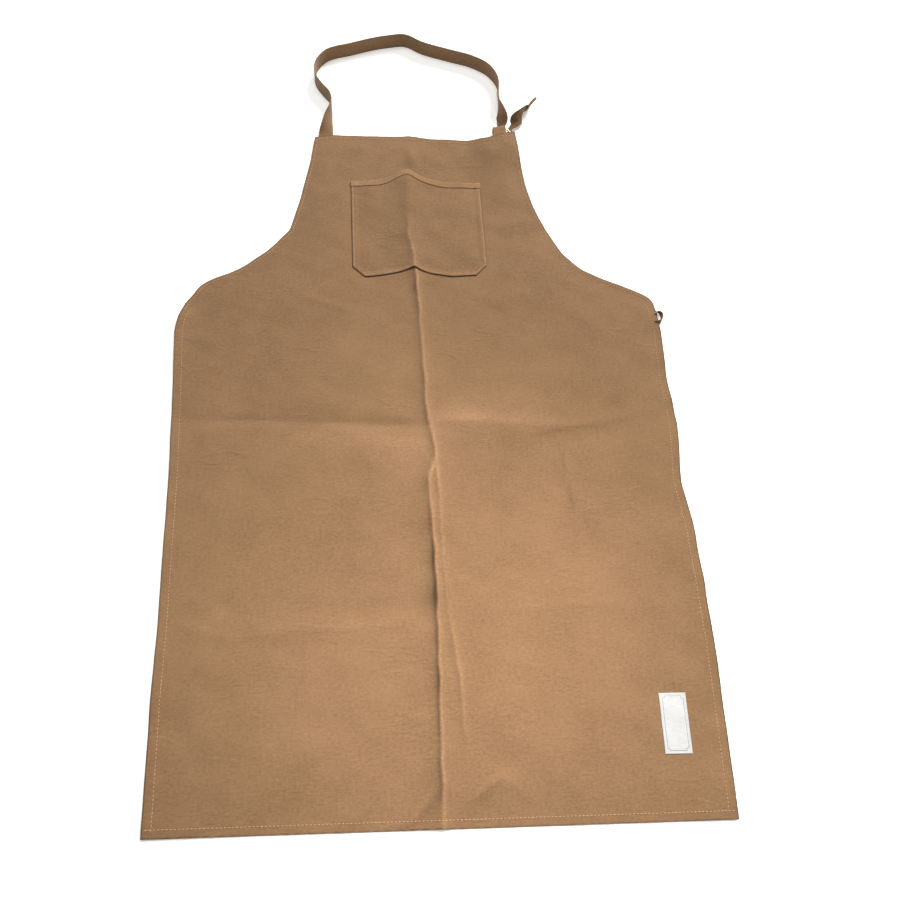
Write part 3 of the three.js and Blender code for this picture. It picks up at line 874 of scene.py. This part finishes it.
def looseEndStations():
    # The strap goes under the rings, round the lower one, back between the two and out
    high = (ring["lower"] + ring["upper"]) / 2
    low = turn["low"]
    radius = (high - low) / 2
    far = ring["y"] - ring["radius"] - 0.4
    angles = -math.pi / 2 - np.linspace(0, math.pi, 9)
    stations = [(135, 999.6, low, 0, 11), (134.5, 985, low, 0, 10), (134, 970, low, 0, 9)]
    stations += [
        (134, far + radius * math.cos(a), low + radius + radius * math.sin(a), 0, 8) for a in angles]
    stations += [
        (136, 966.5, high, -0.45, 8), (140.5, 970, high, -0.8, 8), (144.8, 975.5, high, -0.6, 7),
        (146, 984, high, -0.3, 7), (147.6, 992, high, -0.55, 7), (149.5, 995.8, high, -0.64, 7)]
    stations = np.array(stations)
    middles = stations[:, :3]
    across = np.stack([np.cos(stations[:, 3]), np.sin(stations[:, 3]), 0 * stations[:, 3]], 1)
    return middles, across, stations[:, 4]


def makeLooseEnd():
    middles, across, widths = looseEndStations()
    heading = tail["heading"]
    rows = []
    for along, lean, width, z in tail["rows"]:
        side = -0.5 * width * math.cos(math.radians(lean))
        x = tail["start"][0] + along * math.cos(heading) - side * math.sin(heading)
        y = tail["start"][1] + along * math.sin(heading) + side * math.cos(heading)
        rows.append((x, y, z, lean, width))
    tailMiddles, tailAcross, tailWidths = leaning(rows, tail["thickness"], 2.0)
    travel = np.linalg.norm(tailMiddles[:, :2] - tailMiddles[0, :2], axis=1)
    hem = rise(travel, tail["hemStart"], 1.5)
    thicks = tail["thickness"] + (tail["hemThickness"] - tail["thickness"]) * hem
    thicks = np.concatenate([np.full(len(middles), turn["thickness"]), thicks])
    middles = np.concatenate([middles, tailMiddles])
    # The gathered part's width points the other way from the tail's
    across = np.concatenate([-across, tailAcross])
    widths = np.concatenate([widths, tailWidths])
    return strapMesh("strap_loose_end", middles, across, widths, thicks, soil=tail["soil"])


loosePiece, looseLength = makeLooseEnd()


tab = dict(left=120.0, right=140.0, end=955.0, front=9.3, back=1.9, fold=992.6, thickness=0.9, climb=0.28)


def makeTab():
    radius = (tab["front"] - tab["back"]) / 2
    angles = np.linspace(math.pi / 2, -math.pi / 2, 13)
    line = [(tab["end"], tab["front"]), (970, tab["front"]), (984, tab["front"])]
    line += [
        (tab["fold"] + radius * math.cos(a), tab["back"] + radius + radius * math.sin(a)) for a in angles]
    line += [(988, tab["back"]), (984, tab["back"] + 0.6), (979, 4.6), (975, 7.2), (970, 8.2), (958, 8.25)]
    line = throughPoints(line, 1.2)
    middle = (tab["left"] + tab["right"]) / 2
    # The fold climbs to the right, as the bib's corner does
    middles = np.stack([np.full(len(line), middle), line[:, 0], line[:, 1]], 1)
    across = np.tile([1.0, tab["climb"], 0.0], (len(line), 1))
    across[:, 1] *= rise(line[:, 0], 975, 18)
    width = tab["right"] - tab["left"]
    return strapMesh("ring_tab_cloth", middles, across, width, tab["thickness"], shift=60)[0]


tabPiece = makeTab()
tabSeam = dict(left=121.0, right=138.6, low=959.8, high=974.8)


def makeRing(name, z, slip):
    # Bent wire, with its two ends brazed together; the lower ring has slipped aside
    turns, around = 72, 12
    a = np.linspace(0, 2 * math.pi, turns, endpoint=False)[:, None]
    b = np.linspace(0, 2 * math.pi, around, endpoint=False)[None, :]
    seam = np.abs(np.angle(np.exp(1j * (a - ring["joint"]))))
    wire = ring["wire"] * (1 + 0.18 * np.exp(-(seam / 0.09) ** 2) - 0.1 * np.exp(-(seam / 0.03) ** 2))
    reach = ring["radius"] + wire * np.cos(b)
    points = np.stack([
        ring["x"] + reach * np.cos(a), ring["y"] + reach * np.sin(a), z + wire * np.sin(b) + 0 * a], -1)
    index = np.arange(turns * around).reshape(turns, around)
    right, up = np.roll(index, -1, axis=0), np.roll(index, -1, axis=1)
    both = np.roll(right, -1, axis=1)
    faces = np.stack([index, right, both, up], -1).reshape(-1, 4).tolist()
    points[..., 0] -= slip
    points[..., 1] -= slip
    return addMesh(name, points.reshape(-1, 3), faces, brassMaterial)


ringPieces = [
    makeRing("ring_lower_wire", ring["lower"], ring["slip"]),
    makeRing("ring_upper_wire", ring["upper"], 0),
]


tie = dict(
    inner=66.0,
    leftEnd=325.0,
    rightEnd=333.0,
    loop=3.0,
    y=654.0,
    width=25.0,
    thickness=0.72,
    pitch=0.78,
    lowest=0.42,
)


def makeTie(name, sign, outer):
    # A strap folded in three, one run on the other
    inner, loop = tie["inner"], tie["loop"]
    levels = [tie["lowest"] + k * tie["pitch"] for k in range(3)]
    line = [(x, levels[0]) for x in np.linspace(outer - 12, inner + 2, 12)]
    bend = tie["pitch"] / 2
    half = np.linspace(-math.pi / 2, math.pi / 2, 7)
    line += [
        (inner + 2 - bend * math.cos(a) * 2, levels[0] + bend + bend * math.sin(a)) for a in half[1:-1]]
    line += [(x, levels[1]) for x in np.linspace(inner + 2, outer - loop * 1.5, 12)]
    swell = loop * 0.32
    for a in half[1:-1]:
        out = swell * math.cos(a)
        rounded = (bend + out) * math.sin(a) + out * 0.6
        line.append((outer - loop + loop * math.cos(a), levels[1] + bend + rounded))
    line += [(x, levels[2]) for x in np.linspace(outer - loop * 1.5, inner + 9, 12)]
    xs, zs = np.array(line).T
    middles = np.stack([sign * xs, np.full(len(xs), tie["y"]) + 0.8 * np.sin(xs / 60), zs], 1)
    across = np.tile([0.0, -float(sign), 0.0], (len(xs), 1))
    return strapMesh(name, middles, across, tie["width"], tie["thickness"], shift=120)


tieLeft, tieLength = makeTie("waist_tie_left_cloth", -1, tie["leftEnd"])
tieRight, tieLength = makeTie("waist_tie_right_cloth", 1, tie["rightEnd"])


# Where the right tie doubles back it is folded along itself and stands up past the cloth's edge
standingFold = dict(
    thickness=1.3,
    rows=[
        (326, 638, 0.9, 5, 9), (332, 640.5, 0.6, 35, 9), (336.3, 645.5, 0, 78, 9), (338.6, 652, 0, 90, 9.5),
        (338.2, 659, 0, 88, 9.5), (335, 664, 0.3, 62, 9), (329.5, 666, 0.9, 20, 9), (324, 666.5, 0.9, 5, 9)],
)
tieFold, tieFoldLength = strapMesh(
    "waist_tie_right_fold", *leaning(standingFold["rows"], standingFold["thickness"], 0.8),
    standingFold["thickness"])
print("straps made", round(neckLength), round(looseLength), round(tieLength))


# Label

label = dict(x=274.5, y=101.5, width=32.5, height=69.0, thickness=0.6, turn=-0.022, border=3.6, notch=2.6)


def labelSpot(u, v):
    c, s = math.cos(label["turn"]), math.sin(label["turn"])
    return label["x"] + u * c - v * s, label["y"] + u * s + v * c


def makeLabel():
    u = np.concatenate([[-0.5, -0.49, -0.47], np.linspace(-0.44, 0.44, 26), [0.47, 0.49, 0.5]])
    v = np.concatenate([[-0.5, -0.495, -0.485], np.linspace(-0.47, 0.47, 50), [0.485, 0.495, 0.5]])
    u, v = np.meshgrid(u * label["width"], v * label["height"])
    x, y = labelSpot(u, v)
    rim = np.minimum(label["width"] / 2 - np.abs(u), label["height"] / 2 - np.abs(v))
    height = clothTop(x, y) + 0.06 + 0.25 * rise(rim, 1.5, 5)
    thin = roundOff(rim, 0.7)
    top = height + label["thickness"] * (0.3 + 0.7 * thin) + 0.15 * (1 - rise(rim, 1.2, 0.6))
    return addSheet("label_cloth", x, y, top, height, labelMaterial, (u, v))


labelPiece = makeLabel()


def labelTop(x, y):
    return clothTop(x, y) + 0.31 + label["thickness"]


# Stitches, laid along lines by geometry nodes

def stitchTree():
    tree = bpy.data.node_groups.new("stitchesAlongLines", "GeometryNodeTree")
    face = tree.interface
    face.new_socket("Geometry", in_out="INPUT", socket_type="NodeSocketGeometry")
    for name in ("Pitch", "Length", "Thickness"):
        face.new_socket(name, in_out="INPUT", socket_type="NodeSocketFloat")
    face.new_socket("Seed", in_out="INPUT", socket_type="NodeSocketInt")
    face.new_socket("Thread", in_out="INPUT", socket_type="NodeSocketMaterial")
    face.new_socket("Geometry", in_out="OUTPUT", socket_type="NodeSocketGeometry")
    nodes = Nodes(tree)
    given = nodes.add("NodeGroupInput")
    curve = nodes.add("GeometryNodeMeshToCurve", None, {"Mesh": given.out("Geometry")})
    spaced = nodes.add("GeometryNodeResampleCurve", {"mode": "LENGTH"}, {
        "Curve": curve, "Length": given.out("Pitch")})
    bead = nodes.add("GeometryNodeMeshUVSphere", None, {"Segments": 8, "Rings": 6, "Radius": 0.5})
    uneven = nodes.add("FunctionNodeRandomValue", {"data_type": "FLOAT"}, {
        2: 0.85, 3: 1.12, "Seed": given.out("Seed")}, 1)
    size = nodes.add("ShaderNodeCombineXYZ", None, {
        "X": given.out("Length") * uneven, "Y": given.out("Thickness"), "Z": given.out("Thickness") * 0.8})
    tangent = nodes.add("GeometryNodeInputTangent")
    aim = nodes.add("FunctionNodeAlignRotationToVector", {"axis": "X"}, {"Vector": tangent})
    placed = nodes.add("GeometryNodeInstanceOnPoints", None, {
        "Points": spaced, "Instance": bead, "Rotation": aim, "Scale": size})
    solid = nodes.add("GeometryNodeRealizeInstances", None, {"Geometry": placed})
    smooth = nodes.add("GeometryNodeSetShadeSmooth", None, {"Geometry": solid})
    done = nodes.add("GeometryNodeSetMaterial", None, {
        "Geometry": smooth, "Material": given.out("Thread")})
    end = tree.nodes.new("NodeGroupOutput")
    tree.links.new(done.socket, end.inputs["Geometry"])
    return tree


stitches = stitchTree()
stitchIds = {item.name: item.identifier for item in stitches.interface.items_tree if item.in_out == "INPUT"}


def sew(name, lines, pitch=4.4, length=3.1, thickness=0.95, seed=1, material=None):
    # Each line is a list of points; the stitches become one plain mesh
    points, edges = [], []
    for line in lines:
        start = len(points)
        points.extend(toRow(line).tolist())
        edges.extend((start + i, start + i + 1) for i in range(len(line) - 1))
    mesh = bpy.data.meshes.new(name + "_lines")
    mesh.from_pydata(points, edges, [])
    guide = bpy.data.objects.new(name + "_lines", mesh)
    bpy.context.collection.objects.link(guide)
    modifier = guide.modifiers.new("stitches", "NODES")
    modifier.node_group = stitches
    modifier[stitchIds["Pitch"]] = pitch / 1000
    modifier[stitchIds["Length"]] = length / 1000
    modifier[stitchIds["Thickness"]] = thickness / 1000
    modifier[stitchIds["Seed"]] = seed
    modifier[stitchIds["Thread"]] = material or threadMaterial
    made = guide.evaluated_get(bpy.context.evaluated_depsgraph_get())
    plain = bpy.data.meshes.new_from_object(made)
    plain.name = name
    bpy.data.objects.remove(guide)
    piece = bpy.data.objects.new(name, plain)
    bpy.context.collection.objects.link(piece)
    return piece


def onSurface(xs, ys, surface, lift=0.2):
    xs, ys = np.asarray(xs, float), np.asarray(ys, float)
    return np.stack([xs, ys, surface(xs, ys) + lift], 1)


def sideLine(rows, inset, isLeft):
    # A line that keeps its distance inside the cloth's left or right edge
    left, right = edgesAt(rows)
    xs = left if isLeft else right
    run = unit(np.stack([np.gradient(xs), np.gradient(rows)], 1))
    sign = 1 if isLeft else -1
    xs = xs + sign * inset * run[:, 1]
    ys = rows - sign * inset * run[:, 0]
    return xs, warpRows(xs, ys)


seams = dict(side=10.6, hem=9.3, arm=4.6, top=6.8)


def clothLines():
    lines = []
    for isLeft in (True, False):
        lines.append(onSurface(*sideLine(between(9, 672, 3), seams["side"], isLeft), clothTop))
        lines.append(onSurface(*sideLine(between(674, 972, 1.5), seams["arm"], isLeft), clothTop))
    xs = between(-326, 327, 3)
    lines.append(onSurface(xs, warpRows(xs, np.full(len(xs), seams["hem"])), clothTop))
    xs = between(-146, 148, 2)
    lines.append(onSurface(xs, warpRows(xs, np.full(len(xs), cloth["top"] - seams["top"])), clothTop))
    return lines


clothStitches = sew("cloth_stitches", clothLines(), seed=3)


def pocketTopAt(u, v):
    x, y, height = pocketSurface(np.asarray(u, float), np.asarray(v, float))
    return x, y, height + pocket["thickness"]


def makePocketStitches():
    inset = 2.6
    tall = pocket["height"]
    u = inset / pocket["halfWidth"]
    v = inset / tall
    cut = pocket["chamfer"] / tall
    mouth = 1 - (pocket["band"] + 0.8) / tall
    lift = 0.12

    def run(us, vs):
        x, y, z = pocketTopAt(us, vs)
        return np.stack([x, y, z + lift], 1)

    side = np.linspace(mouth, cut, 60)
    low = np.linspace(cut, v, 8)
    bottom = np.linspace(-1 + u * 2, 1 - u * 2, 80)
    lines = [run(np.full(60, s * (1 - u)), side) for s in (-1, 1)]
    lines += [run(np.full(8, s * (1 - u * 1.6)), low) for s in (-1, 1)]
    lines.append(run(bottom, np.full(80, v)))
    # A small triangle of stitches strengthens the lower left corner
    lines.append(run([-0.93, -0.86, -0.8], [v * 4.4, v * 4.2, v]))
    band = np.linspace(-0.985, 0.985, 120)
    x, y, z = pocketTopAt(band, np.full(120, 1 - (pocket["band"] - 1.6) / tall))
    lines.append(np.stack([x, y, z + 1.1], 1))
    return sew("pocket_stitches", lines, 3.6, 2.7, 0.8, 5)


def makeTacks():
    # Bar tacks: close stitches across both ends of the mouth
    lines = []
    for sign in (-1, 1):
        for shift in np.linspace(0.05, 0.115, 5):
            us = np.full(2, sign * (1 - shift))
            x, y, z = pocketTopAt(us, 1 - np.array([1.5, 7.2]) / pocket["height"])
            lines.append(np.stack([x, y, z + 1.08], 1))
    return sew("pocket_tacks", lines, 1.5, 1.4, 0.6, 7)


pocketStitches = makePocketStitches()
tackPiece = makeTacks()


def makeTabStitches():
    left, right, low, high = tabSeam.values()
    corners = [(left, low), (right, low), (right, high), (left, high), (left, low)]
    xs, ys = throughCorners(corners)
    lines = [onSurface(xs, ys, clothTop)]
    for a, b in (((left, low), (right, high)), ((left, high), (right, low))):
        xs, ys = throughCorners([a, b])
        lines.append(onSurface(xs, ys, clothTop))
    return sew("tab_stitches", lines, 2.4, 1.9, 0.55, 9)


def throughCorners(corners, step=1.5):
    # Straight runs from corner to corner
    xs, ys = [], []
    for (ax, ay), (bx, by) in zip(corners, corners[1:]):
        count = max(2, int(math.hypot(bx - ax, by - ay) / step))
        xs.extend(np.linspace(ax, bx, count, endpoint=False))
        ys.extend(np.linspace(ay, by, count, endpoint=False))
    return xs + [corners[-1][0]], ys + [corners[-1][1]]


tabStitches = makeTabStitches()


def labelLine(corners, step=1.0):
    us, vs = throughCorners(corners, step)
    x, y = labelSpot(np.array(us), np.array(vs))
    return x, y


def makeLabelStitches():
    w, h = label["width"] / 2 - 1.1, label["height"] / 2 - 1.1
    x, y = labelLine([(-w, -h), (w, -h), (w, h), (-w, h), (-w, -h)])
    return sew("label_stitches", [onSurface(x, y, labelTop, -0.08)], 2.6, 1.7, 0.4, 11, labelMaterial)


def makeLabelBorder():
    # A woven border line whose corners step in
    w, h = label["width"] / 2 - label["border"], label["height"] / 2 - label["border"]
    n = label["notch"]
    corners = [
        (-w + n, -h), (w - n, -h), (w - n, -h + n), (w, -h + n), (w, h - n), (w - n, h - n),
        (w - n, h), (-w + n, h), (-w + n, h - n), (-w, h - n), (-w, -h + n), (-w + n, -h + n), (-w + n, -h)]
    x, y = labelLine(corners, 0.5)
    return sew("label_border", [onSurface(x, y, labelTop, -0.02)], 0.55, 0.7, 0.34, 13, greyMaterial)


labelStitches = makeLabelStitches()
labelBorder = makeLabelBorder()
print("stitches sewn")


# Where each piece rides, and which CAD parts are hidden


for piece in (clothPiece, clothStitches):
    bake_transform(piece)
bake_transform(neckPiece)
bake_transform(loosePiece)

onUpper = (
    pocketPiece, bandPiece, pocketStitches, tackPiece, tabPiece, tabStitches, *ringPieces, tieFold)
for piece in onUpper:
    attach(piece, "upper_apron")
for piece in (labelPiece, labelStitches, labelBorder):
    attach(piece, "lower_skirt")
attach(tieLeft, "tie_left")
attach(tieRight, "tie_right")

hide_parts("bib_panel", "skirt_panel")
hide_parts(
    "hem_stitching", "bib_top_stitching", "side_stitching_lower_left",
    "side_stitching_lower_right", "side_stitching_upper_left", "side_stitching_upper_right",
    "armhole_stitching_left", "armhole_stitching_right")
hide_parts("chest_pocket")
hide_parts("pocket_hem")
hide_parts("pocket_stitching")
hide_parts("pocket_tack_left", "pocket_tack_right")
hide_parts("strap_root", "neck_strap")
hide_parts("strap_turn", "strap_tail")
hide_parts("ring_tab")
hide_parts("tab_stitching")
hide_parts("ring_lower")
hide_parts("ring_upper")
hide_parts("waist_tie_left")
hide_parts("waist_tie_right")
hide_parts("label")
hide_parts("label_stitching")


# Floor and light

studio = dict(
    floor=colour(248, 248, 245),
    floorGlow=0.36,
    floorSize=8.0,
    sky=0.16,
    backdrop=1.0,
    lamps=dict(
        key=dict(
            place=(3.1, 4.4, 4.3), aim=(0, 0, 0), size=3.0, power=670, spread=180,
            warmth=(1.0, 0.985, 0.96)),
        overhead=dict(
            place=(-0.4, 0.7, 2.8), aim=(-0.1, 0.1, 0), size=2.0, power=40, spread=180,
            warmth=(0.98, 0.99, 1.0)),
        middle=dict(
            place=(0.06, -0.3, 0.8), aim=(0.06, -0.4, 0), size=0.3, power=1.15, spread=72,
            warmth=(1.0, 0.97, 0.92)),
    ),
)


def makeFloor():
    material, nodes, shader = startMaterial("paleFloor")
    cloudy = nodes.noise(nodes.place(), 1.3)
    tint = nodes.blend(cloudy, studio["floor"], colour(252, 252, 250))
    feed(nodes, shader, {"Base Color": tint, "Roughness": 0.7 + cloudy * 0.1}, {
        "Specular IOR Level": 0.2,
        "Emission Color": studio["floor"],
        "Emission Strength": studio["floorGlow"],
    })
    mesh = bpy.data.meshes.new("floor")
    half, drop = studio["floorSize"] / 2, -0.0002
    corners = [(-half, -half, drop), (half, -half, drop), (half, half, drop), (-half, half, drop)]
    mesh.from_pydata(corners, [], [(0, 1, 2, 3)])
    mesh.materials.append(material)
    floor = bpy.data.objects.new("floor", mesh)
    bpy.context.collection.objects.link(floor)


def addLight(name, values):
    data = bpy.data.lights.new(name, "AREA")
    data.shape = "DISK"
    data.size = values["size"]
    data.energy = values["power"]
    data.spread = math.radians(values["spread"])
    data.color = values["warmth"]
    lamp = bpy.data.objects.new(name, data)
    bpy.context.collection.objects.link(lamp)
    place = Matrix.Translation(values["place"])
    look = Vector(values["aim"]) - place.translation
    lamp.matrix_world = place @ look.to_track_quat("-Z", "Y").to_matrix().to_4x4()
    lamp.visible_camera = False


def addSky():
    world = bpy.data.worlds.new("studio")
    world.use_nodes = True
    # The backdrop looks white to the camera and lights the scene weakly
    tree = world.node_tree
    sky = tree.nodes["Background"]
    rays = tree.nodes.new("ShaderNodeLightPath")
    strength = tree.nodes.new("ShaderNodeMapRange")
    strength.inputs["To Min"].default_value = studio["sky"]
    strength.inputs["To Max"].default_value = studio["backdrop"]
    sky.inputs["Color"].default_value = (0.97, 0.985, 1.0, 1.0)
    tree.links.new(rays.outputs["Is Camera Ray"], strength.inputs["Value"])
    tree.links.new(strength.outputs["Result"], sky.inputs["Strength"])
    bpy.context.scene.world = world


makeFloor()
for lampName, lampValues in studio["lamps"].items():
    addLight(lampName, lampValues)
addSky()
bpy.context.scene.view_settings.view_transform = "Standard"
print("studio set")
